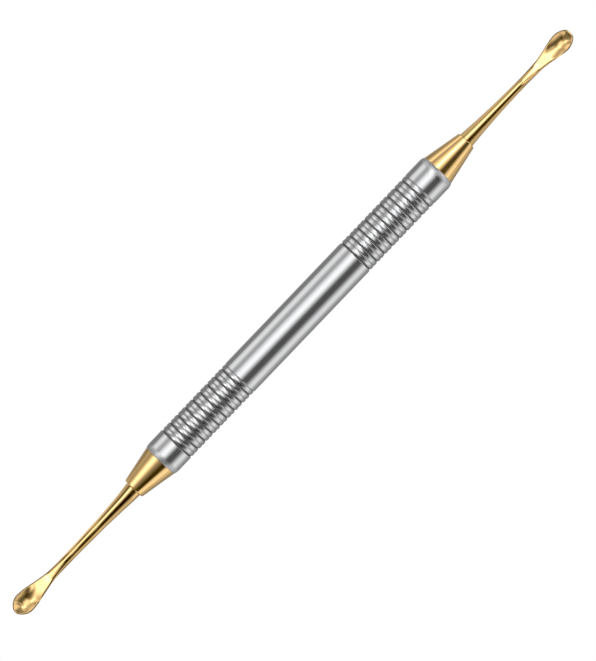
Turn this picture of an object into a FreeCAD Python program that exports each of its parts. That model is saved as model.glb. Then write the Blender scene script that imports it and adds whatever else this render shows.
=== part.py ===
# Double-ended ear pick, lying along X with both spoon bowls facing up (+Z).
# A turned hollow steel handle with two grooved grip bands carries a gold-coated
# cone collar pressed into each end, and each collar carries a gold-coated spoon
# tip. Origin: on the surface the tool lies on, below the middle of its length.
# Units: millimetres.
import FreeCAD, Part
import math
import os

V = FreeCAD.Vector

# ---------------------------------------------------------------- handle
HANDLE_D = 8.0            # outside diameter of the smooth barrel
HANDLE_BORE_D = 6.4       # through bore of the hollow handle
HANDLE_L = 79.5           # collar seat to collar seat
HANDLE_LOW_END_D = 7.62   # diameter at the end faces, below the end taper
HANDLE_UP_END_D = 7.38
HANDLE_END_TAPER = 1.1    # axial length of the end taper
BORE_CHAMFER = 0.15
GRIP_LOW_FIRST = -35.02   # first deep groove of the lower grip band, from mid-handle
GRIP_LOW_PITCH = 2.10     # one deep groove, rib, shallow groove, rib
GRIP_UP_FIRST = 16.22     # first deep groove of the upper grip band
GRIP_UP_PITCH = 2.145
GRIP_REPEATS = 8          # whole repeats in each band, closed by a last deep groove,
                          # a rib and a last shallow groove
DEEP_DEPTH = 0.26
DEEP_BOTTOM_W = 0.14
DEEP_TOP_W = 0.44
SHALLOW_DEPTH = 0.13
SHALLOW_W = 0.30
RIB_SHOULDER = 0.045      # drop of the rounded rib crest at its shoulders
RIB_DROP = 0.015          # the crests stand this much below the plain barrel, which
                          # the tool lies on

# ---------------------------------------------------------------- collars
LOW_COLLAR_L = 7.75       # visible cone, seat face to nose
UP_COLLAR_L = 8.20
LOW_COLLAR_BASE_D = 7.56
UP_COLLAR_BASE_D = 7.32
LOW_COLLAR_NOSE_D = 4.66  # cone carried on to the nose plane, before rounding
UP_COLLAR_NOSE_D = 4.08
LOW_COLLAR_NOSE_R = 0.30  # rounding of the nose edge
UP_COLLAR_NOSE_R = 0.16
SPIGOT_L = 9.0            # press-fit spigot inside the handle bore
SPIGOT_CHAMFER = 0.4
TANG_D = 3.0
TANG_L = 12.0             # tang inside the collar
TANG_CHAMFER = 0.3
SOCKET_EXTRA = 0.6        # free depth past the end of the tang

# ---------------------------------------------------------------- spoon tips
# (distance from the nose, half width of the outline seen from above)
LOW_W = [(0.0, 1.76), (1.6, 1.65), (3.2, 1.505), (4.8, 1.40), (6.4, 1.31), (8.0, 1.225),
         (9.5, 1.16), (11.1, 1.12), (12.7, 1.08), (14.3, 1.03), (15.9, 0.99), (17.5, 0.975),
         (19.0, 0.965), (20.2, 0.955), (21.4, 0.96), (22.6, 0.99), (23.8, 1.07), (24.97, 1.215),
         (26.16, 1.445), (27.3, 1.68), (28.49, 1.895), (29.65, 2.075), (30.6, 2.17), (31.27, 2.195),
         (31.62, 2.165), (31.97, 2.08), (32.32, 1.945), (32.67, 1.75), (32.97, 1.53), (33.22, 1.30),
         (33.42, 1.075), (33.59, 0.84), (33.72, 0.60), (33.81, 0.37), (33.86, 0.0)]
UP_W = [(0.0, 1.65), (1.33, 1.565), (2.9, 1.44), (4.5, 1.33), (6.1, 1.24), (7.7, 1.15),
        (9.3, 1.08), (10.9, 1.03), (12.4, 0.985), (14.0, 0.955), (15.6, 0.93), (17.0, 0.925),
        (18.2, 0.94), (19.4, 0.975), (20.5, 1.02), (21.3, 1.085), (22.0, 1.19), (22.87, 1.355),
        (23.7, 1.54), (24.6, 1.715), (25.5, 1.865), (26.3, 1.995), (26.87, 2.05), (27.44, 2.01),
        (28.0, 1.89), (28.57, 1.66), (29.1, 1.32), (29.4, 1.02), (29.57, 0.68), (29.64, 0.0)]
# slight sideways set of each tip's centre line (distance from the nose, offset)
LOW_SET = [(0.0, 0.05), (3.0, 0.14), (22.0, 0.14), (33.86, 0.0)]
UP_SET = [(0.0, 0.06), (8.5, 0.0), (16.4, -0.06), (21.0, -0.08), (29.64, -0.09)]
# flat: the round shank goes over into a flat neck between these; front, mid: the
# dish starts at front and is deepest at mid; depth: of the dish below the rim;
# wall: of the dish; rim: width of the rim; lip, edge: height and width of the rim's
# rounded outer edge, at the neck and round the bowl; start, rise: the rim lifts by
# rise from start to the tip; roll: turn about the tool's axis of the neck and of the
# bowl, and where it goes over from one to the other; bend: the sideways set
LOW_TIP = dict(table=LOW_W, bend=LOW_SET, start=27.0, rise=0.90, wall=0.30, rim=0.30,
               roll=(15.0, -0.5, 27.3, 30.0), flat=(18.5, 25.5), lip=(0.22, 0.31), edge=(0.27, 0.24),
               depth=0.72, mid=31.1, front=26.45)
UP_TIP = dict(table=UP_W, bend=UP_SET, start=22.9, rise=0.90, wall=0.30, rim=0.30,
              roll=(-9.0, -0.5, 23.1, 27.0), flat=(14.5, 21.5), lip=(0.22, 0.31), edge=(0.27, 0.24),
              depth=0.76, mid=27.0, front=22.6)


# ================================================================ helpers
def curve(tab, x):
    """Monotone cubic through a table of (x, y) points."""
    n = len(tab)
    if x <= tab[0][0]:
        return tab[0][1]
    if x >= tab[-1][0]:
        return tab[-1][1]
    h = [tab[i + 1][0] - tab[i][0] for i in range(n - 1)]
    dl = [(tab[i + 1][1] - tab[i][1]) / h[i] for i in range(n - 1)]
    m = [dl[0]] + [0.0] * (n - 2) + [dl[-1]]
    for i in range(1, n - 1):
        if dl[i - 1] * dl[i] > 0:
            w1 = 2 * h[i] + h[i - 1]
            w2 = h[i] + 2 * h[i - 1]
            m[i] = (w1 + w2) / (w1 / dl[i - 1] + w2 / dl[i])
    i = max(j for j in range(n - 1) if tab[j][0] <= x)
    t = (x - tab[i][0]) / h[i]
    return ((2 * t**3 - 3 * t**2 + 1) * tab[i][1] + (t**3 - 2 * t**2 + t) * h[i] * m[i]
            + (-2 * t**3 + 3 * t**2) * tab[i + 1][1] + (t**3 - t**2) * h[i] * m[i + 1])


def smooth(a, b, x):
    t = min(1.0, max(0.0, (x - a) / (b - a)))
    return t * t * (3 - 2 * t)


def line(a, b):
    return Part.LineSegment(V(a[0], 0, a[1]), V(b[0], 0, b[1])).toShape()


def arc(a, m, b):
    return Part.Arc(V(a[0], 0, a[1]), V(m[0], 0, m[1]), V(b[0], 0, b[1])).toShape()


def turn(edges):
    """Solid of revolution about X of a closed chain of edges in the XZ plane."""
    face = Part.Face(Part.Wire(edges))
    solid = face.revolve(V(0, 0, 0), V(1, 0, 0), 360)
    return Part.Solid(solid.Shells[0]) if solid.ShapeType != "Solid" else solid


# ================================================================ handle
def grip_edges(c, pitch):
    """Outer profile of one grip band, from its first deep groove centred at c
    towards +X. Returns the edges and the x where the band starts and ends."""
    R = HANDLE_D / 2
    rc = R - RIB_DROP
    rb = R - DEEP_DEPTH
    rs = rc - RIB_SHOULDER
    hb, ht, hs = DEEP_BOTTOM_W / 2, DEEP_TOP_W / 2, SHALLOW_W / 2
    half = pitch / 2
    out = []
    # first deep groove, its outer shoulder rounded into the plain barrel
    x0 = c - ht - 0.10
    out.append(arc((x0, R), (x0 + 0.055, R - 0.006), (x0 + 0.10, R - 0.025)))
    out.append(line((x0 + 0.10, R - 0.025), (c - hb, rb)))
    for k in range(GRIP_REPEATS):
        out.append(line((c - hb, rb), (c + hb, rb)))
        a0, a1 = c + ht, c + half - hs           # first rib
        out.append(line((c + hb, rb), (a0, rs)))
        out.append(arc((a0, rs), (0.45 * a0 + 0.55 * a1, rc), (a1, rc - 0.018)))
        m = c + half                             # shallow groove
        out.append(arc((a1, rc - 0.018), (m, R - SHALLOW_DEPTH), (m + hs, rc - 0.018)))
        b0, b1 = m + hs, c + pitch - ht          # second rib
        out.append(arc((b0, rc - 0.018), (0.55 * b0 + 0.45 * b1, rc), (b1, rs)))
        out.append(line((b1, rs), (c + pitch - hb, rb)))
        c += pitch
    out.append(line((c - hb, rb), (c + hb, rb)))
    # last rib and last shallow groove, rounded into the plain barrel
    a0, a1 = c + ht, c + half - hs
    out.append(line((c + hb, rb), (a0, rs)))
    out.append(arc((a0, rs), (0.45 * a0 + 0.55 * a1, rc), (a1, rc - 0.018)))
    m = c + half
    out.append(arc((a1, rc - 0.018), (m, R - SHALLOW_DEPTH), (m + hs, R - 0.018)))
    xe = m + hs + 0.08
    out.append(arc((m + hs, R - 0.018), (m + hs + 0.03, R - 0.004), (xe, R)))
    return out, x0, xe


def handle():
    R, ri, hl = HANDLE_D / 2, HANDLE_BORE_D / 2, HANDLE_L / 2
    rl, ru, tl, ch = HANDLE_LOW_END_D / 2, HANDLE_UP_END_D / 2, HANDLE_END_TAPER, BORE_CHAMFER
    low, low_start, low_end = grip_edges(GRIP_LOW_FIRST, GRIP_LOW_PITCH)
    up, up_start, up_end = grip_edges(GRIP_UP_FIRST, GRIP_UP_PITCH)

    def taper(sign, re):
        # slightly convex taper of the end land
        a, b = (sign * (hl - tl), R), (sign * hl, re)
        mid = (sign * (hl - 0.45 * tl), R - 0.33 * (R - re))
        return arc(a, mid, b) if sign > 0 else arc(b, mid, a)

    edges = [taper(-1, rl), line((-hl + tl, R), (low_start, R))] + low
    edges += [line((low_end, R), (up_start, R))] + up
    edges += [line((up_end, R), (hl - tl, R)), taper(1, ru)]
    edges += [line((hl, ru), (hl, ri + ch)), line((hl, ri + ch), (hl - ch, ri)),
              line((hl - ch, ri), (-hl + ch, ri)), line((-hl + ch, ri), (-hl, ri + ch)),
              line((-hl, ri + ch), (-hl, rl))]
    return turn(edges)


# ================================================================ collar
def collar(length, base_d, nose_d, nose_r):
    """Cone collar with its seat face at x = 0 and its nose at x = length."""
    rb, rn, ri = base_d / 2, nose_d / 2, TANG_D / 2
    rs, sc = HANDLE_BORE_D / 2, SPIGOT_CHAMFER
    depth = TANG_L + SOCKET_EXTRA
    # nose rounding, tangent to the cone and to the nose plane
    ang = math.atan2(rb - rn, length)
    f = nose_r
    # centre of the rounding: f inside the nose plane and f inside the cone line
    xc = length - f
    rc = rb - (rb - rn) * xc / length - f / math.cos(ang)
    p_cone = (xc + f * math.sin(ang), rc + f * math.cos(ang))
    p_nose = (length, rc)
    a0 = math.pi / 2 - ang
    p_mid = (xc + f * math.cos(a0 / 2), rc + f * math.sin(a0 / 2))
    cone_tip = math.tan(math.radians(31)) * ri
    edges = [
        line((0, rb), p_cone), arc(p_cone, p_mid, p_nose),
        line(p_nose, (length, ri)),
        line((length, ri), (length - depth, ri)),
        line((length - depth, ri), (length - depth - cone_tip, 0)),
        line((length - depth - cone_tip, 0), (-SPIGOT_L, 0)),
        line((-SPIGOT_L, 0), (-SPIGOT_L, rs - sc)),
        line((-SPIGOT_L, rs - sc), (-SPIGOT_L + sc, rs)),
        line((-SPIGOT_L + sc, rs), (0, rs)),
        line((0, rs), (0, rb)),
    ]
    return turn(edges)


# ================================================================ spoon tips
def solve_spline(params):
    """Matrix that turns interpolation data (first derivative, points, last
    derivative) into the poles of a clamped cubic spline on these parameters."""
    n = len(params)
    knots = [params[0]] * 3 + list(params) + [params[-1]] * 3

    def basis(i, d, t):
        if d == 0:
            last = knots[i + 1] == knots[-1] and knots[i] < knots[i + 1]
            return 1.0 if knots[i] <= t < knots[i + 1] or (last and t == knots[-1]) else 0.0
        r = 0.0
        if knots[i + d] > knots[i]:
            r += (t - knots[i]) / (knots[i + d] - knots[i]) * basis(i, d - 1, t)
        if knots[i + d + 1] > knots[i + 1]:
            r += (knots[i + d + 1] - t) / (knots[i + d + 1] - knots[i + 1]) * basis(i + 1, d - 1, t)
        return r

    m = n + 2
    rows = []
    r = [0.0] * m
    w = 3.0 / (params[1] - params[0])
    r[0], r[1] = -w, w
    rows.append(r)
    for t in params:
        rows.append([basis(i, 3, t) for i in range(m)])
    r = [0.0] * m
    w = 3.0 / (params[-1] - params[-2])
    r[-2], r[-1] = -w, w
    rows.append(r)
    # inverse by elimination with pivoting
    a = [row[:] + [1.0 if i == j else 0.0 for j in range(m)] for i, row in enumerate(rows)]
    for c in range(m):
        q = max(range(c, m), key=lambda k: abs(a[k][c]))
        a[c], a[q] = a[q], a[c]
        d = a[c][c]
        a[c] = [v / d for v in a[c]]
        for k in range(m):
            if k != c and a[k][c] != 0.0:
                f = a[k][c]
                a[k] = [v - f * u for v, u in zip(a[k], a[c])]
    return [row[m:] for row in a]


def combine(inv, data):
    out = []
    for row in inv:
        s = V(0, 0, 0)
        for w, q in zip(row, data):
            if w:
                s = s + q * w
        out.append(s)
    return out


def skin(section, xs, us, nv, blunt):
    """Cubic B-spline surface through the half sections at stations xs.
    section(x, v) gives a point; v runs from one edge of the outline to the other.
    blunt: the surface starts with an open end instead of a point."""
    eps = 1e-4
    vs = [k / (nv - 1.0) for k in range(nv)]
    inv_u, inv_v = solve_spline(us), solve_spline(vs)
    x0, x1 = xs[0], xs[-1]
    du0 = (us[1] - us[0]) / (xs[1] - xs[0])
    rows = []
    for v in vs:
        pts = [section(x, v) for x in xs]
        # end derivatives along the skin
        if blunt:
            d0 = (section(x0 + eps, v) - pts[0]) * (1.0 / (eps * du0))
        else:
            e = section(x0 + 0.1 * (xs[1] - x0), v) - pts[0]
            d0 = e * ((pts[1] - pts[0]).Length / (us[1] - us[0]) / max(e.Length, 1e-9))
        e = pts[-1] - section(xs[-2] + 0.9 * (x1 - xs[-2]), v)
        f = pts[-1] - pts[-2]
        d1 = (e * (1.0 / max(e.Length, 1e-9))) * (f.Length / (us[-1] - us[-2])) if e.Length > 1e-9 else f
        rows.append(combine(inv_u, [d0] + pts + [d1]))
    net = []
    for i in range(len(rows[0])):
        col = [r[i] for r in rows]
        spread = max((c - col[0]).Length for c in col)
        if spread < 1e-7:
            net.append([col[0]] * (nv + 2))
            continue
        # the half sections leave the outline straight up or down
        d0 = col[1] - col[0]
        d1 = col[-1] - col[-2]
        k0, k1 = col[2] - col[0], col[-1] - col[-3]
        t0 = V(0, 0, (4 * d0.z - k0.z) * 0.5 * (nv - 1.0))
        t1 = V(0, 0, (4 * d1.z - k1.z) * 0.5 * (nv - 1.0))
        net.append(combine(inv_v, [t0] + col + [t1]))
    s = Part.BSplineSurface()
    nu = len(us)
    s.buildFromPolesMultsKnots(net, [4] + [1] * (nu - 2) + [4], [4] + [1] * (nv - 2) + [4],
                               us, vs, False, False, 3, 3)
    return s


def stations(outline, xs):
    """Parameters by arc length along the outline."""
    us = [0.0]
    for a, b in zip(xs, xs[1:]):
        n = 8
        d = 0.0
        for k in range(n):
            p, q = a + (b - a) * k / n, a + (b - a) * (k + 1) / n
            d += math.hypot(q - p, outline(q) - outline(p))
        us.append(us[-1] + d)
    return us


def two_skins(low, high, outline, xs, nv):
    """Solid between a lower and an upper skin that share their outline."""
    us = stations(outline, xs)
    blunt = outline(xs[0]) > 1e-6
    faces = [skin(low, xs, us, nv, blunt).toShape(), skin(high, xs, us, nv, blunt).toShape()]
    if blunt:
        edges = []
        for f in faces:
            edges += [e for e in f.Edges if e.BoundBox.XLength < 1e-6 and abs(e.BoundBox.XMin - xs[0]) < 1e-6
                      and e.Length > 1e-3]
        faces.append(Part.Face(Part.Wire(Part.__sortEdges__(edges))))
    shell = Part.makeShell(faces)
    shell.sewShape()
    shell = shell.Shells[0]
    solid = Part.Solid(shell)
    if solid.Volume < 0:
        solid.reverse()
    return solid


def dish(p, x):
    """Depth of the dish below the rim on the tip's centre line."""
    if x < p["mid"]:
        return p["depth"] * smooth(p["front"], p["mid"], x)
    run = p["table"][-1][0] - p["rim"] - p["mid"]
    return p["depth"] * max(0.0, 1 - ((x - p["mid"]) / run) ** 2)


def tip(p):
    L = p["table"][-1][0]

    def outline(x):
        return curve(p["table"], x)

    def half(x, v, up):
        a = outline(x)
        w = smooth(p["flat"][0], p["flat"][1], x)
        rz = p["rise"] * max(0.0, (x - p["start"]) / (L - p["start"])) ** 1.7
        q, s = math.cos(math.pi * v), math.sin(math.pi * v)
        if up:
            # distance in from the outline sets the rounded edge of the rim, which is
            # a little higher round the bowl than along the neck
            c = smooth(p["roll"][2], p["roll"][3], x)
            lip, edge = (p[k][0] + (p[k][1] - p[k][0]) * c for k in ("lip", "edge"))
            e = min(x + 0.01, L)
            slope = (outline(e) - outline(x - 0.01)) / (e - x + 0.01)
            t = min(1.0, a * (1 - abs(q)) / math.sqrt(1 + slope * slope) / edge)
            z = (1 - w) * a * s + w * lip * math.sqrt(1 - (1 - t) ** 2)
            qr = max(0.3, 1 - p["rim"] / max(a, 0.05))
            z -= dish(p, x) * max(0.0, 1 - (q / qr) ** 2)
        else:
            end = math.sqrt(max(0.0, 1 - (x / L) ** 60)) if x < L else 0.0
            z = -((1 - w) * a + w * (dish(p, x) + p["wall"]) * end) * s
        y, z = curve(p["bend"], x) + a * q, rz + z
        neck, bowl, x0, x1 = p["roll"]
        turned = math.radians(neck + (bowl - neck) * smooth(x0, x1, x))
        return V(x, y * math.cos(turned) - z * math.sin(turned), y * math.sin(turned) + z * math.cos(turned))

    xs = [0.0, 0.8, 1.9, 3.4, 5.4, 8.0, 11.0]
    x1 = p["flat"][0] - 1.5
    while x1 - xs[-1] > 1.0:
        xs.append(min(xs[-1] + 2.4, x1))
    n = 26
    xs += [x1 + (L - x1) * math.sin(0.5 * math.pi * i / n) for i in range(1, n + 1)]
    xs[-1] = L
    body = two_skins(lambda x, v: half(x, v, False), lambda x, v: half(x, v, True), outline, xs, 17)
    tang = turn([line((0.5, 0), (0.5, TANG_D / 2)), line((0.5, TANG_D / 2), (-TANG_L + TANG_CHAMFER, TANG_D / 2)),
                 line((-TANG_L + TANG_CHAMFER, TANG_D / 2), (-TANG_L, TANG_D / 2 - TANG_CHAMFER)),
                 line((-TANG_L, TANG_D / 2 - TANG_CHAMFER), (-TANG_L, 0)), line((-TANG_L, 0), (0.5, 0))])
    whole = body.fuse(tang)
    return whole.Solids[0]


# ================================================================ assembly
def placed(shape, end):
    """Move a shape from its seat frame to the tool's end: end = +1 or -1."""
    s = shape.copy()
    if end < 0:
        s.rotate(V(0, 0, 0), V(0, 0, 1), 180)
    s.translate(V(end * HANDLE_L / 2 + SHIFT_X, 0, HANDLE_D / 2))
    return s


# the tool's length is not quite even about the handle, so the handle is set
# off the origin by half the difference of the two tips
SHIFT_X = (LOW_COLLAR_L + LOW_W[-1][0] - UP_COLLAR_L - UP_W[-1][0]) / 2


def build():
    os.makedirs("parts", exist_ok=True)
    tube = handle()
    tube.translate(V(SHIFT_X, 0, HANDLE_D / 2))
    parts = {"handle_tube": tube,
             "lower_cone_collar": placed(collar(LOW_COLLAR_L, LOW_COLLAR_BASE_D, LOW_COLLAR_NOSE_D,
                                                LOW_COLLAR_NOSE_R), -1),
             "upper_cone_collar": placed(collar(UP_COLLAR_L, UP_COLLAR_BASE_D, UP_COLLAR_NOSE_D,
                                                UP_COLLAR_NOSE_R), 1)}
    for name, p, length, end in (("lower_spoon_tip", LOW_TIP, LOW_COLLAR_L, -1),
                                 ("upper_spoon_tip", UP_TIP, UP_COLLAR_L, 1)):
        t = tip(p)
        t.translate(V(length, 0, 0))
        parts[name] = placed(t, end)
    for name, shape in parts.items():
        bb = shape.BoundBox
        print("%-18s valid %s solids %d faces %3d volume %9.3f  x %.2f..%.2f y %.2f..%.2f z %.2f..%.2f" % (
            name, shape.isValid(), len(shape.Solids), len(shape.Faces), shape.Volume,
            bb.XMin, bb.XMax, bb.YMin, bb.YMax, bb.ZMin, bb.ZMax))
        shape.exportStep("parts/%s.step" % name)
    return parts


build()
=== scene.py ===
# Looks of the double-ended ear pick: turned steel handle with two grooved grip
# bands, gold-coated cone collars and spoon tips, lying on a plain white floor.
import math

import bpy
import numpy as np
from mathutils import Matrix, Vector


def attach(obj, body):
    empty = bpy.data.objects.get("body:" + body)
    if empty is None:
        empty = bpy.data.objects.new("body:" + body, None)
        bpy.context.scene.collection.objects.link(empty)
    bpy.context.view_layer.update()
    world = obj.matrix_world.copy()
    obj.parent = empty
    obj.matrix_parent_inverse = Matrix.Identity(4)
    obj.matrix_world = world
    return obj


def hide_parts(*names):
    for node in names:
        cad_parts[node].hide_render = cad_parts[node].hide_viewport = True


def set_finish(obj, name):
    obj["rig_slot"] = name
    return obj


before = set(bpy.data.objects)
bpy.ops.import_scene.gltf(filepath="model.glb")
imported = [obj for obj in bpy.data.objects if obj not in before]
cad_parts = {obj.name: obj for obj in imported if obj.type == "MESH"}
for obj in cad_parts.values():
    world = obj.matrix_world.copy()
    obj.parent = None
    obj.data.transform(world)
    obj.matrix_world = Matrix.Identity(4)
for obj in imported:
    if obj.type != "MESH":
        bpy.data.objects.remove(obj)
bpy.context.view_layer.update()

MM = 0.001

# ------------------------------------------------------------------ sizes (mm), as in the CAD
HANDLE_R, BORE_R, HANDLE_L = 4.0, 3.2, 79.5
LOW_END_R, UP_END_R, END_TAPER, BORE_CH = 3.81, 3.69, 1.1, 0.15
LOW_FIRST, LOW_PITCH = -35.02, 2.10
UP_FIRST, UP_PITCH = 16.22, 2.145
REPEATS = 8
DEEP, DEEP_B, DEEP_T = 0.26, 0.14, 0.44
SHALLOW, SHALLOW_W, SHOULDER, DROP = 0.13, 0.30, 0.045, 0.015

SPIGOT_L, SPIGOT_CH = 9.0, 0.4
TANG_R, TANG_L, TANG_CH, SOCKET_EXTRA = 1.5, 12.0, 0.3, 0.6
COLLARS = {
    "lower": dict(length=7.75, base=3.78, nose=2.33, nose_r=0.30),
    "upper": dict(length=8.20, base=3.66, nose=2.04, nose_r=0.16),
}
LOW_W = [(0.0, 1.76), (1.6, 1.65), (3.2, 1.505), (4.8, 1.40), (6.4, 1.31), (8.0, 1.225),
         (9.5, 1.16), (11.1, 1.12), (12.7, 1.08), (14.3, 1.03), (15.9, 0.99), (17.5, 0.975),
         (19.0, 0.965), (20.2, 0.955), (21.4, 0.96), (22.6, 0.99), (23.8, 1.07), (24.97, 1.215),
         (26.16, 1.445), (27.3, 1.68), (28.49, 1.895), (29.65, 2.075), (30.6, 2.17), (31.27, 2.195),
         (31.62, 2.165), (31.97, 2.08), (32.32, 1.945), (32.67, 1.75), (32.97, 1.53), (33.22, 1.30),
         (33.42, 1.075), (33.59, 0.84), (33.72, 0.60), (33.81, 0.37), (33.86, 0.0)]
UP_W = [(0.0, 1.65), (1.33, 1.565), (2.9, 1.44), (4.5, 1.33), (6.1, 1.24), (7.7, 1.15),
        (9.3, 1.08), (10.9, 1.03), (12.4, 0.985), (14.0, 0.955), (15.6, 0.93), (17.0, 0.925),
        (18.2, 0.94), (19.4, 0.975), (20.5, 1.02), (21.3, 1.085), (22.0, 1.19), (22.87, 1.355),
        (23.7, 1.54), (24.6, 1.715), (25.5, 1.865), (26.3, 1.995), (26.87, 2.05), (27.44, 2.01),
        (28.0, 1.89), (28.57, 1.66), (29.1, 1.32), (29.4, 1.02), (29.57, 0.68), (29.64, 0.0)]
LOW_SET = [(0.0, 0.05), (3.0, 0.14), (22.0, 0.14), (33.86, 0.0)]
UP_SET = [(0.0, 0.06), (8.5, 0.0), (16.4, -0.06), (21.0, -0.08), (29.64, -0.09)]
TIPS = {
    "lower": dict(table=LOW_W, bend=LOW_SET, start=27.0, rise=0.90, wall=0.30, rim=0.30, roll=(15.0, -0.5, 27.3, 30.0),
                  flat=(18.5, 25.5), lip=(0.22, 0.31), bevel=(0.27, 0.21), depth=0.72, mid=31.1, front=26.45),
    "upper": dict(table=UP_W, bend=UP_SET, start=22.9, rise=0.90, wall=0.30, rim=0.30, roll=(-9.0, -0.5, 23.1, 27.0),
                  flat=(14.5, 21.5), lip=(0.22, 0.31), bevel=(0.27, 0.21), depth=0.76, mid=27.0, front=22.6),
}
SHIFT_X = (7.75 + 33.86 - 8.20 - 29.64) / 2


# ------------------------------------------------------------------ helpers
def curve(tab, x):
    """Monotone cubic through a table of (x, y) points, on arrays."""
    t = np.array(tab, float)
    xs, ys = t[:, 0], t[:, 1]
    h = np.diff(xs)
    dl = np.diff(ys) / h
    m = np.zeros(len(xs))
    m[0], m[-1] = dl[0], dl[-1]
    for i in range(1, len(xs) - 1):
        if dl[i - 1] * dl[i] > 0:
            w1, w2 = 2 * h[i] + h[i - 1], h[i] + 2 * h[i - 1]
            m[i] = (w1 + w2) / (w1 / dl[i - 1] + w2 / dl[i])
    x = np.clip(np.asarray(x, float), xs[0], xs[-1])
    i = np.clip(np.searchsorted(xs, x, side="right") - 1, 0, len(h) - 1)
    u = (x - xs[i]) / h[i]
    return ((2 * u**3 - 3 * u**2 + 1) * ys[i] + (u**3 - 2 * u**2 + u) * h[i] * m[i]
            + (-2 * u**3 + 3 * u**2) * ys[i + 1] + (u**3 - u**2) * h[i] * m[i + 1])


def smooth(a, b, x):
    t = np.clip((np.asarray(x, float) - a) / (b - a), 0, 1)
    return t * t * (3 - 2 * t)


def arc3(a, m, b, n):
    """n+1 points on the circle through a, m, b, from a to b."""
    (ax, ay), (mx, my), (bx, by) = a, m, b
    d = 2 * (ax * (my - by) + mx * (by - ay) + bx * (ay - my))
    ux = ((ax**2 + ay**2) * (my - by) + (mx**2 + my**2) * (by - ay) + (bx**2 + by**2) * (ay - my)) / d
    uy = ((ax**2 + ay**2) * (bx - mx) + (mx**2 + my**2) * (ax - bx) + (bx**2 + by**2) * (mx - ax)) / d
    r = math.hypot(ax - ux, ay - uy)
    t0, t1, t2 = (math.atan2(p[1] - uy, p[0] - ux) for p in (a, m, b))
    while t2 - t0 > math.pi: t2 -= 2 * math.pi
    while t2 - t0 < -math.pi: t2 += 2 * math.pi
    return [(ux + r * math.cos(t0 + (t2 - t0) * k / n), uy + r * math.sin(t0 + (t2 - t0) * k / n))
            for k in range(n + 1)]


def rounded(points, radius, n=3):
    """A closed chain of points with its corners rounded by up to radius."""
    out = []
    k = len(points)
    for i, p in enumerate(points):
        a, b = points[i - 1], points[(i + 1) % k]
        u = np.array(a, float) - p
        v = np.array(b, float) - p
        lu, lv = np.linalg.norm(u), np.linalg.norm(v)
        if min(lu, lv) < 1e-9:
            continue
        u, v = u / lu, v / lv
        turn = math.pi - math.acos(max(-1.0, min(1.0, float(u @ v))))
        if turn < math.radians(14) or p[1] < 1e-6:
            out.append(tuple(p))
            continue
        cut = min(radius * math.tan(turn / 2), 0.42 * lu, 0.42 * lv)
        s, e = np.array(p) + u * cut, np.array(p) + v * cut
        for j in range(n + 1):
            t = j / n
            q = (1 - t) ** 2 * s + 2 * t * (1 - t) * np.array(p) + t**2 * e
            out.append((float(q[0]), float(q[1])))
    return out


def add_mesh(name, verts, faces, slot, node):
    mesh = bpy.data.meshes.new(name)
    mesh.from_pydata([tuple(v) for v in verts], [], faces)
    mesh.validate()
    mesh.update()
    obj = bpy.data.objects.new(name, mesh)
    bpy.context.scene.collection.objects.link(obj)
    for p in mesh.polygons:
        p.use_smooth = True
    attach(obj, "root")
    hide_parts(node)
    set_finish(obj, slot)
    return obj


def lathe(name, prof, seg, slot, node, shift, flip=False, sharp=32):
    """Turned piece: closed chain of (x, r) points revolved about the tool's axis."""
    verts, rings = [], []
    for x, r in prof:
        x = (-x if flip else x) + shift
        if r < 1e-6:
            rings.append([len(verts)])
            verts.append((x * MM, 0.0, HANDLE_R * MM))
        else:
            rings.append(list(range(len(verts), len(verts) + seg)))
            for k in range(seg):
                a = 2 * math.pi * k / seg
                verts.append((x * MM, r * math.sin(a) * MM, (HANDLE_R + r * math.cos(a)) * MM))
    faces = []
    n = len(rings)
    for i in range(n):
        a, b = rings[i], rings[(i + 1) % n]
        if len(a) == 1 and len(b) == 1:
            continue
        for k in range(seg):
            k2 = (k + 1) % seg
            if len(a) == 1:
                f = [a[0], b[k], b[k2]]
            elif len(b) == 1:
                f = [a[k], b[0], a[k2]]
            else:
                f = [a[k], b[k], b[k2], a[k2]]
            faces.append(f[::-1] if flip else f)
    obj = add_mesh(name, verts, faces, slot, node)
    obj.data.set_sharp_from_angle(angle=math.radians(sharp))
    return obj


# ------------------------------------------------------------------ handle
def grip_points(c, pitch):
    """Outer profile of one grip band, from its first deep groove at c towards +X."""
    R, rc = HANDLE_R, HANDLE_R - DROP
    rb, rs, re = R - DEEP, rc - SHOULDER, rc - 0.018
    hb, ht, hs, half = DEEP_B / 2, DEEP_T / 2, SHALLOW_W / 2, pitch / 2
    p = []
    x0 = c - ht - 0.10
    p += arc3((x0, R), (x0 + 0.055, R - 0.006), (x0 + 0.10, R - 0.025), 3)
    for k in range(REPEATS + 1):
        p += [(c - hb, rb), (c + hb, rb)]
        a0, a1 = c + ht, c + half - hs
        p += arc3((a0, rs), (0.45 * a0 + 0.55 * a1, rc), (a1, re), 8)
        m = c + half
        p += arc3((a1, re), (m, R - SHALLOW), (m + hs, re), 8)[1:]
        if k == REPEATS:
            p += arc3((m + hs, re), (m + hs + 0.03, R - 0.008), (m + hs + 0.08, R), 3)[1:]
            break
        b0, b1 = m + hs, c + pitch - ht
        p += arc3((b0, re), (0.55 * b0 + 0.45 * b1, rc), (b1, rs), 8)[1:]
        c += pitch
    return p


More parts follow.
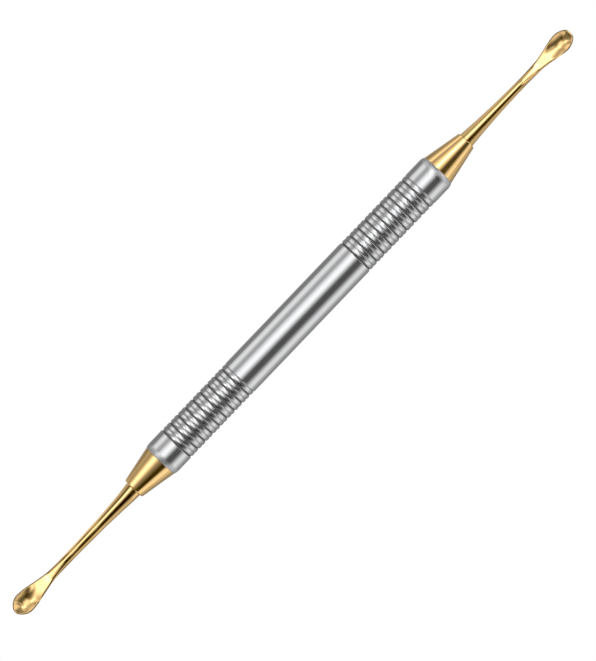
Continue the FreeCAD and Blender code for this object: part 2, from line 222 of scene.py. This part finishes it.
def handle():
    R, ri, hl = HANDLE_R, BORE_R, HANDLE_L / 2
    p = arc3((-hl, LOW_END_R), (-hl + 0.45 * END_TAPER, R - 0.33 * (R - LOW_END_R)), (-hl + END_TAPER, R), 8)
    p += grip_points(LOW_FIRST, LOW_PITCH)
    p += grip_points(UP_FIRST, UP_PITCH)
    p += arc3((hl - END_TAPER, R), (hl - 0.45 * END_TAPER, R - 0.33 * (R - UP_END_R)), (hl, UP_END_R), 8)
    p += [(hl, ri + BORE_CH), (hl - BORE_CH, ri), (-hl + BORE_CH, ri), (-hl, ri + BORE_CH)]
    p = rounded(p, 0.05)
    # long plain runs are divided so that the rings stay regular
    q = []
    for a, b in zip(p, p[1:] + p[:1]):
        q.append(a)
        n = int(abs(b[0] - a[0]) / 1.6)
        q += [(a[0] + (b[0] - a[0]) * k / (n + 1), a[1] + (b[1] - a[1]) * k / (n + 1)) for k in range(1, n + 1)]
    return lathe("handle_tube_skin", q, 128, "turned_steel", "handle_tube", SHIFT_X)


def collar(which):
    d = COLLARS[which]
    L, rb, rn, f = d["length"], d["base"], d["nose"], d["nose_r"]
    ang = math.atan2(rb - rn, L)
    xc = L - f
    rc = rb - (rb - rn) * xc / L - f / math.cos(ang)
    a0 = math.pi / 2 - ang
    nose = [(xc + f * math.cos(a0 * (1 - k / 8)), rc + f * math.sin(a0 * (1 - k / 8))) for k in range(9)]
    depth = TANG_L + SOCKET_EXTRA
    cone_tip = math.tan(math.radians(31)) * TANG_R
    cone = [(L * u, rb - (rb - rn) * u) for u in [0.0, 0.01, 0.02] + [0.95 * k / 8 for k in range(1, 9)]]
    p = cone + nose
    p += [(L, TANG_R), (L - depth, TANG_R), (L - depth - cone_tip, 0.0), (-SPIGOT_L, 0.0),
          (-SPIGOT_L, BORE_R - SPIGOT_CH), (-SPIGOT_L + SPIGOT_CH, BORE_R), (0.0, BORE_R)]
    p = rounded(p, 0.04)
    end = -1 if which == "lower" else 1
    return lathe(which + "_cone_collar_skin", p, 128, "gold_coated_steel", which + "_cone_collar",
                 SHIFT_X + end * HANDLE_L / 2, flip=end < 0)


# ------------------------------------------------------------------ spoon tips
def tip_section(p, x):
    """Closed section of the tip at x from the nose: arrays of y and z, 2*NH points.
    The round shank goes over into a flat neck, and that into the dished bowl."""
    L, s0 = p["table"][-1][0], p["start"]
    a = max(float(curve(p["table"], x)), 0.0)
    da = (float(curve(p["table"], min(x + 0.01, L))) - float(curve(p["table"], x - 0.01))) / (min(x + 0.01, L) - x + 0.01)
    yc = float(curve(p["bend"], x))
    rz = p["rise"] * max(0.0, (x - s0) / (L - s0)) ** 1.7
    w = float(smooth(p["flat"][0], p["flat"][1], x))
    end = math.sqrt(max(0.0, 1 - (x / L) ** 60))
    xe = L - p["rim"]
    if x < p["mid"]:
        g = float(smooth(p["front"], p["mid"], x))
    else:
        g = max(0.0, 1 - ((x - p["mid"]) / (xe - p["mid"])) ** 2)
    dish = p["depth"] * g
    f = np.linspace(0, math.pi, NH + 1)
    q = np.sign(np.cos(f)) * np.abs(np.cos(f)) ** (1 - 0.35 * w)
    s = np.sqrt(np.clip(1 - q * q, 0, 1))
    bottom = rz - ((1 - w) * a + w * (dish + p["wall"]) * end) * s
    # the rim's outer bevel, by the distance from the outline, is steeper round the bowl
    c = float(smooth(p["roll"][2], p["roll"][3], x))
    lip, width = (p[k][0] + (p[k][1] - p[k][0]) * c for k in ("lip", "bevel"))
    t = a * (1 - np.abs(q)) / math.sqrt(1 + da * da) / width
    bevel = lip * np.where(t < 0.75, t, 1 - np.clip(1.25 - t, 0, 1) ** 2)
    top = rz + (1 - w) * a * s + w * bevel
    qr = max(0.3, 1 - p["rim"] / max(a, 0.05))
    top = top - dish * np.clip(1 - (q / qr) ** 2, 0, 1)
    return yc + a * q, top, bottom


NH = 56


def tip(which):
    p = TIPS[which]
    L, s0 = p["table"][-1][0], p["start"]
    xs = list(np.linspace(0.0, s0 - 3.0, 40))
    n = 120
    xs += [s0 - 3.0 + (L - s0 + 3.0) * math.sin(0.5 * math.pi * i / n) for i in range(1, n)]
    end = -1 if which == "lower" else 1
    x_nose = COLLARS[which]["length"]
    verts = []

    def put(x, y, z):
        r0, r1, x0, x1 = p["roll"]                # the bowl is turned against the flat neck
        roll = math.radians(r0 + (r1 - r0) * float(smooth(x0, x1, x)))
        cr, sr = math.cos(roll), math.sin(roll)
        y, z = y * cr - z * sr, y * sr + z * cr
        x = x + x_nose + HANDLE_L / 2
        if end < 0:
            x, y = -x, -y
        verts.append(((x + SHIFT_X) * MM, y * MM, (z + HANDLE_R) * MM))

    N = 2 * NH
    rings = []
    # tang inside the collar
    first = len(verts)
    put(-TANG_L, 0, 0)
    for x, r in ((-TANG_L, TANG_R - TANG_CH), (-TANG_L + TANG_CH, TANG_R), (-6.0, TANG_R), (-0.02, TANG_R), (0.0, TANG_R + 0.02)):
        ring = []
        for k in range(N):
            f = math.pi * k / NH
            ring.append(len(verts))
            put(x, r * math.cos(f), r * math.sin(f))
        rings.append(ring)
    for x in xs:
        y, top, bot = tip_section(p, x)
        ring = []
        for k in range(NH + 1):
            ring.append(len(verts)); put(x, float(y[k]), float(top[k]))
        for k in range(NH - 1, 0, -1):
            ring.append(len(verts)); put(x, float(y[k]), float(bot[k]))
        rings.append(ring)
    last = len(verts)
    put(L, float(curve(p["bend"], L)), p["rise"])
    faces = []

    def face(f):
        faces.append(f[::-1] if end > 0 else f)

    for k in range(N):
        face([first, rings[0][(k + 1) % N], rings[0][k]][::-1])
    for a, b in zip(rings, rings[1:]):
        for k in range(N):
            k2 = (k + 1) % N
            face([a[k], a[k2], b[k2], b[k]])
    for k in range(N):
        face([rings[-1][k], rings[-1][(k + 1) % N], last])
    obj = add_mesh(which + "_spoon_tip_skin", verts, faces, "gold_coated_steel", which + "_spoon_tip")
    import bmesh
    bm = bmesh.new()
    bm.from_mesh(obj.data)
    bmesh.ops.recalc_face_normals(bm, faces=bm.faces)
    bm.to_mesh(obj.data)
    bm.free()
    obj.data.set_sharp_from_angle(angle=math.radians(50))
    return obj


# ------------------------------------------------------------------ materials
def nodes_of(mat):
    mat.use_nodes = True
    nt = mat.node_tree
    nt.nodes.clear()
    out = nt.nodes.new("ShaderNodeOutputMaterial")
    return nt, out


def metal(name, dark, light, rough, spread, line_scale, bump, grooves=None, satin=None):
    """Turned metal: fine lines round the axis, faint mottling in tone and roughness.
    grooves: (radius, radius, shade, dulling) darkens the cut grooves by their depth with painted shade, and dulls
    them.
    satin: (x, x, added roughness) dulls both ends of the tool."""
    mat = bpy.data.materials.new(name)
    nt, out = nodes_of(mat)
    N = nt.nodes.new
    link = nt.links.new
    bsdf = N("ShaderNodeBsdfPrincipled")
    bsdf.inputs["Metallic"].default_value = 1.0
    link(bsdf.outputs[0], out.inputs["Surface"])
    tc = N("ShaderNodeTexCoord")
    # lines: noise that is stretched round the barrel, so it varies only along X
    mp = N("ShaderNodeMapping")
    mp.inputs["Scale"].default_value = (line_scale, line_scale * 0.004, line_scale * 0.004)
    link(tc.outputs["Object"], mp.inputs["Vector"])
    lines = N("ShaderNodeTexNoise")
    lines.inputs["Scale"].default_value = 1.0
    lines.inputs["Detail"].default_value = 5.0
    lines.inputs["Roughness"].default_value = 0.6
    link(mp.outputs[0], lines.inputs["Vector"])
    cloud = N("ShaderNodeTexNoise")
    cloud.inputs["Scale"].default_value = 260.0
    cloud.inputs["Detail"].default_value = 3.0
    link(tc.outputs["Object"], cloud.inputs["Vector"])
    mix = N("ShaderNodeMix")
    mix.data_type = "RGBA"
    mix.inputs["A"].default_value = (*dark, 1)
    mix.inputs["B"].default_value = (*light, 1)
    fac = N("ShaderNodeMath")
    fac.operation = "MULTIPLY_ADD"
    fac.inputs[1].default_value = 0.5
    link(lines.outputs["Fac"], fac.inputs[0])
    half = N("ShaderNodeMath")
    half.operation = "MULTIPLY"
    half.inputs[1].default_value = 0.5
    link(cloud.outputs["Fac"], half.inputs[0])
    link(half.outputs[0], fac.inputs[2])
    link(fac.outputs[0], mix.inputs["Factor"])
    if not grooves:
        link(mix.outputs["Result"], bsdf.inputs["Base Color"])
    rr = N("ShaderNodeMapRange")
    rr.inputs["From Min"].default_value = 0.3
    rr.inputs["From Max"].default_value = 0.7
    rr.inputs["To Min"].default_value = rough - spread
    rr.inputs["To Max"].default_value = rough + spread
    link(fac.outputs[0], rr.inputs["Value"])
    if grooves:
        r0, r1, shade, dull = grooves
        flat = N("ShaderNodeVectorMath")          # distance from the tool's axis
        flat.operation = "MULTIPLY_ADD"
        flat.inputs[1].default_value = (0, 1, 1)
        flat.inputs[2].default_value = (0, 0, -HANDLE_R * MM)
        link(tc.outputs["Object"], flat.inputs[0])
        ln = N("ShaderNodeVectorMath")
        ln.operation = "LENGTH"
        link(flat.outputs[0], ln.inputs[0])
        deep = N("ShaderNodeMapRange")
        deep.interpolation_type = "SMOOTHSTEP"
        for key, val in (("From Min", r0 * MM), ("From Max", r1 * MM), ("To Min", 1.0), ("To Max", 0.0)):
            deep.inputs[key].default_value = val
        link(ln.outputs["Value"], deep.inputs["Value"])
        xyz = N("ShaderNodeSeparateXYZ")          # the tapered ends of the handle keep their tone, free of the painted groove shade
        link(tc.outputs["Object"], xyz.inputs[0])
        off = N("ShaderNodeMath")
        off.operation = "SUBTRACT"
        off.inputs[1].default_value = SHIFT_X * MM
        link(xyz.outputs["X"], off.inputs[0])
        side = N("ShaderNodeMath")
        side.operation = "ABSOLUTE"
        link(off.outputs[0], side.inputs[0])
        inner = N("ShaderNodeMath")
        inner.operation = "LESS_THAN"
        inner.inputs[1].default_value = 0.0374
        link(side.outputs[0], inner.inputs[0])
        both = N("ShaderNodeMath")
        both.operation = "MULTIPLY"
        link(deep.outputs[0], both.inputs[0])
        link(inner.outputs[0], both.inputs[1])
        deep = both
        edge = N("ShaderNodeMapRange")
        edge.interpolation_type = "SMOOTHSTEP"
        for key, val in (("From Min", 0.0383), ("From Max", 0.0390), ("To Min", 0.0), ("To Max", 0.28)):
            edge.inputs[key].default_value = val
        link(side.outputs[0], edge.inputs["Value"])
        # painted shade: the base colour goes towards a dark grey in the grooves, by their depth
        cut = N("ShaderNodeMix")
        cut.data_type = "RGBA"
        cut.inputs["B"].default_value = (shade, shade, shade * 1.01, 1)
        link(deep.outputs[0], cut.inputs["Factor"])
        link(mix.outputs["Result"], cut.inputs["A"])
        link(cut.outputs["Result"], bsdf.inputs["Base Color"])
        # the grooves are dull, and so are the handle's tapered ends
        dull_end = N("ShaderNodeMath")
        dull_end.operation = "ADD"
        link(edge.outputs[0], dull_end.inputs[0])
        link(rr.outputs[0], dull_end.inputs[1])
        dr = N("ShaderNodeMath")
        dr.operation = "MULTIPLY_ADD"
        dr.inputs[1].default_value = dull
        link(deep.outputs[0], dr.inputs[0])
        link(dull_end.outputs[0], dr.inputs[2])
        link(dr.outputs[0], bsdf.inputs["Roughness"])
    elif satin:
        xyz = N("ShaderNodeSeparateXYZ")
        link(tc.outputs["Object"], xyz.inputs[0])
        side = N("ShaderNodeMath")
        side.operation = "ABSOLUTE"
        link(xyz.outputs["X"], side.inputs[0])
        soft = N("ShaderNodeMapRange")
        soft.interpolation_type = "SMOOTHSTEP"
        for key, val in (("From Min", satin[0]), ("From Max", satin[1]), ("To Min", 0.0), ("To Max", satin[2])):
            soft.inputs[key].default_value = val
        link(side.outputs[0], soft.inputs["Value"])
        total = N("ShaderNodeMath")
        total.operation = "ADD"
        link(rr.outputs[0], total.inputs[0])
        link(soft.outputs[0], total.inputs[1])
        link(total.outputs[0], bsdf.inputs["Roughness"])
    else:
        link(rr.outputs[0], bsdf.inputs["Roughness"])
    bm = N("ShaderNodeBump")
    bm.inputs["Strength"].default_value = bump
    bm.inputs["Distance"].default_value = 0.00001
    link(lines.outputs["Fac"], bm.inputs["Height"])
    link(bm.outputs[0], bsdf.inputs["Normal"])
    return mat


# the steel's grooves carry painted shade as well as dulling
STEEL = metal("turned_steel", (0.60, 0.605, 0.615), (0.68, 0.68, 0.685), 0.13, 0.02, 9000.0, 0.20,
              grooves=(3.77, 3.94, 0.27, 0.50))
GOLD = metal("gold_coated_steel", (0.89, 0.595, 0.26), (0.96, 0.655, 0.305), 0.09, 0.02, 9000.0, 0.03,
             satin=(0.069, 0.073, 0.12))

pieces = [handle(), collar("lower"), collar("upper"), tip("lower"), tip("upper")]
for o in pieces:
    o.data.materials.append(STEEL if o["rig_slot"] == "turned_steel" else GOLD)


# ------------------------------------------------------------------ floor and light tent
def emission(name, strength=None, attribute=None):
    mat = bpy.data.materials.new(name)
    nt, out = nodes_of(mat)
    e = nt.nodes.new("ShaderNodeEmission")
    e.inputs["Color"].default_value = (1, 1, 1, 1)
    if attribute:
        a = nt.nodes.new("ShaderNodeAttribute")
        a.attribute_name = attribute
        nt.links.new(a.outputs["Fac"], e.inputs["Strength"])
    else:
        e.inputs["Strength"].default_value = strength
    nt.links.new(e.outputs[0], out.inputs["Surface"])
    mat.cycles.emission_sampling = "NONE"
    return mat


def grid(name, points, nu, nv, mat, values=None):
    faces = []
    for i in range(nu - 1):
        for j in range(nv - 1):
            a = i * nv + j
            faces.append((a, a + 1, a + nv + 1, a + nv))
    mesh = bpy.data.meshes.new(name)
    mesh.from_pydata(points, [], faces)
    for p in mesh.polygons:
        p.use_smooth = True
    if values is not None:
        at = mesh.attributes.new("light", "FLOAT", "POINT")
        at.data.foreach_set("value", np.asarray(values, np.float32))
    mesh.materials.append(mat)
    obj = bpy.data.objects.new(name, mesh)
    bpy.context.scene.collection.objects.link(obj)
    return obj


def soft_box(phi, c, half, soft, level):
    """A soft-edged light strip round the tent: centre, half width and flank in degrees."""
    return level * smooth(c - half - soft, c - half + soft, phi) * (1 - smooth(c + half - soft, c + half + soft, phi))


# Strip lights of the tent by zone along the tool: (fill light, [(centre, half width, soft edge, level)]).
# phi is in degrees from straight up towards +Y.
ZONES = {
    "far_low": (0.06, [(37, 6, 8, 0.6), (38.5, 22, 18, 1.38), (5, 20, 20, 0.30), (-76, 19, 11, 1.02), (95, 30, 14, 0.36)]),
    "neck_low": (0.08, [(31, 7, 8, 3.2), (90, 50, 14, 0.36), (-82, 22, 11, 1.05)]),
    "low": (0.03, [(33, 7, 9, 1.2), (31, 15, 25, 1.50), (-80, 25, 20, 0.62), (104, 30, 14, 0.30)]),
    "middle": (0.142, [(9.7, 18.1, 18.6, 1.40), (78.2, 18.7, 17.8, 1.03), (-84.2, 19.6, 19.2, 0.95),
                       (37.0, 5.1, 23.7, 1.042)]),
    "up": (0.04, [(24, 6, 8, 1.4), (24.0, 21.5, 19.0, 1.40), (-81.5, 24, 20, 0.56), (92, 34, 13, 0.48)]),
    "neck_up": (0.18, [(20, 6, 7, 3.2), (56, 6, 12, 0.53), (-49, 45, 14, 1.07), (88, 18, 12, 1.0)]),
    "far_up": (0.095, [(20, 6, 8, 1.7), (19.4, 21.5, 19.0, 1.466), (-75.7, 19.6, 15.6, 0.97), (90.9, 14.1, 12.0, 0.98),
                       (68.0, 30.0, 11.0, 0.38)]),
    "end_low": (0.23, [(-57, 11, 14, 1.41)]),
    "end_up": (0.26, [(-77, 8, 12, 0.73), (-44, 33, 14, 0.85)]),
}


def zone_weights(x):
    """Shares of the zones at x (metres), from the lower end to the upper one."""
    a = [smooth(*e, -x) for e in ((0.112, 0.124), (0.178, 0.188), (0.208, 0.226), (0.300, 0.330))]
    b = [smooth(*e, x) for e in ((0.098, 0.120), (0.180, 0.192), (0.214, 0.228), (0.310, 0.340))]
    return {"end_low": a[3], "far_low": a[2] - a[3], "neck_low": a[1] - a[2], "low": a[0] - a[1],
            "middle": 1 - a[0] - b[0],
            "up": b[0] - b[1], "neck_up": b[1] - b[2], "far_up": b[2] - b[3], "end_up": b[3]}


def tent_level(phi, x):
    v = np.zeros_like(phi)
    for name, w in zone_weights(x).items():
        fill, boxes = ZONES[name]
        z = np.full_like(phi, fill)
        for bx in boxes:
            z = z + soft_box(phi, *bx)
        v = v + w * z
    # the far ends of the tent are dim
    return 0.12 + (v - 0.12) * (1 - smooth(0.7, 1.0, np.abs(x)))


def bounce_level(y, x):
    """Light that the floor sends back, y and x in metres: dimmer close to the tool."""
    ay = np.log(np.maximum(np.abs(y) / MM, 3.0))
    far = smooth(math.log(6), math.log(90), ay)
    mid = np.where(y < 0, 0.33 + 0.75 * far,
                   0.31 + 0.69 * smooth(math.log(18), math.log(110), ay)
                   + 0.12 * (1 - smooth(math.log(5), math.log(10), ay)))
    low = np.where(y < 0, 0.41 + 0.33 * far, 0.56 + 0.50 * (1 - smooth(math.log(5), math.log(40), ay)))
    up = np.where(y < 0, 0.52 + 0.13 * far, 0.60 + 0.35 * smooth(math.log(12), math.log(80), ay))
    wl, wu = smooth(0.042, 0.060, -x), smooth(0.044, 0.062, x)
    v = mid * (1 - wl - wu) + low * wl + up * wu
    # the spoons shade the floor that their rims see
    return v * (1 - 0.85 * smooth(0.066, 0.071, np.abs(x)) * (1 - smooth(0.06, 0.12, np.abs(y))))


def spread_steps(fine_to, fine, total, growth):
    """Distances from 0 to total: even steps up to fine_to, then growing ones."""
    out = [0.0]
    step = fine
    while out[-1] < total:
        if out[-1] >= fine_to:
            step *= growth
        out.append(min(out[-1] + step, total))
    return np.array([-a for a in out[:0:-1]] + out)


def tent():
    R, H = 0.45, 3.0
    xs = spread_steps(0.30, 0.005, H, 1.15)
    ph = np.linspace(-92, 92, 185)
    P, X = np.meshgrid(ph, xs, indexing="ij")
    pr = np.radians(P)
    pts = np.stack([X, R * np.sin(pr), HANDLE_R * MM + R * np.cos(pr)], -1).reshape(-1, 3)
    mat = emission("tent_light", attribute="light")
    t = grid("light_tent", pts.tolist(), len(ph), len(xs), mat, tent_level(P, X).reshape(-1))
    t.visible_camera = False
    t.visible_shadow = False
    # grey floor that only reflections see, the white one only the camera sees
    ys = spread_steps(0.012, 0.0005, R, 1.16)
    Y, X = np.meshgrid(ys, xs, indexing="ij")
    pts = np.stack([X, Y, np.full_like(X, -0.0002)], -1).reshape(-1, 3)
    f = grid("floor_bounce", pts.tolist(), len(ys), len(xs), mat, bounce_level(Y, X).reshape(-1))
    f.visible_camera = False
    f.visible_shadow = False


def floor():
    mat = bpy.data.materials.new("white_floor")
    nt, out = nodes_of(mat)
    e = nt.nodes.new("ShaderNodeEmission")
    e.inputs["Color"].default_value = (1, 1, 1, 1)
    e.inputs["Strength"].default_value = 1.0
    nt.links.new(e.outputs[0], out.inputs["Surface"])
    mat.cycles.emission_sampling = "NONE"
    s = 3.0
    mesh = bpy.data.meshes.new("floor")
    mesh.from_pydata([(-s, -s, -0.0001), (s, -s, -0.0001), (s, s, -0.0001), (-s, s, -0.0001)], [], [(0, 1, 2, 3)])
    mesh.materials.append(mat)
    obj = bpy.data.objects.new("floor", mesh)
    bpy.context.scene.collection.objects.link(obj)
    obj.visible_glossy = False
    obj.visible_diffuse = False
    obj.visible_shadow = False


tent()
floor()

scene = bpy.context.scene
world = bpy.data.worlds.new("studio")
scene.world = world
world.use_nodes = True
bg = world.node_tree.nodes.get("Background") or world.node_tree.nodes.new("ShaderNodeBackground")
bg.inputs["Color"].default_value = (1, 1, 1, 1)
bg.inputs["Strength"].default_value = 1.0
scene.view_settings.view_transform = "Standard"
scene.view_settings.look = "None"
scene.view_settings.gamma = 1.0
scene.view_settings.use_curve_mapping = True
tone = scene.view_settings.curve_mapping
tone.black_level = (0.02, 0.02, 0.02)
tone.update()

# ------------------------------------------------------------------ camera
# The picture is 596 x 661. The tool's axis runs at 46.27 degrees in it, seen from
# straight above at 550 mm, at 0.1983 mm to the pixel on the axis plane.
W, H, K, DIST = 596, 661, 0.1983, 550.0
D = np.array([0.69122, -0.72264])
Nn = np.array([0.72264, 0.69122])
C = np.array([295.415, 319.388])
v = np.array([W / 2, H / 2]) - C
s, t = float(v @ D), float(v @ Nn)
cam_x = (s - 5.4) * K + SHIFT_X
cam_y = -t * K
cam = bpy.data.objects.new("camera", bpy.data.cameras.new("camera"))
scene.collection.objects.link(cam)
cam.data.sensor_fit = "VERTICAL"
cam.data.sensor_width = cam.data.sensor_height = 36.0
cam.data.angle = 2 * math.atan(H * K / 2 / DIST)
cam.location = (cam_x * MM, cam_y * MM, (HANDLE_R + DIST) * MM)
right = Vector((float(D[0]), -float(Nn[0]), 0))
up = Vector((-float(D[1]), float(Nn[1]), 0))
rot = Matrix((right, up, right.cross(up))).transposed()
cam.rotation_euler = rot.to_euler()
cam.data.clip_start, cam.data.clip_end = 0.01, 10
scene.camera = cam
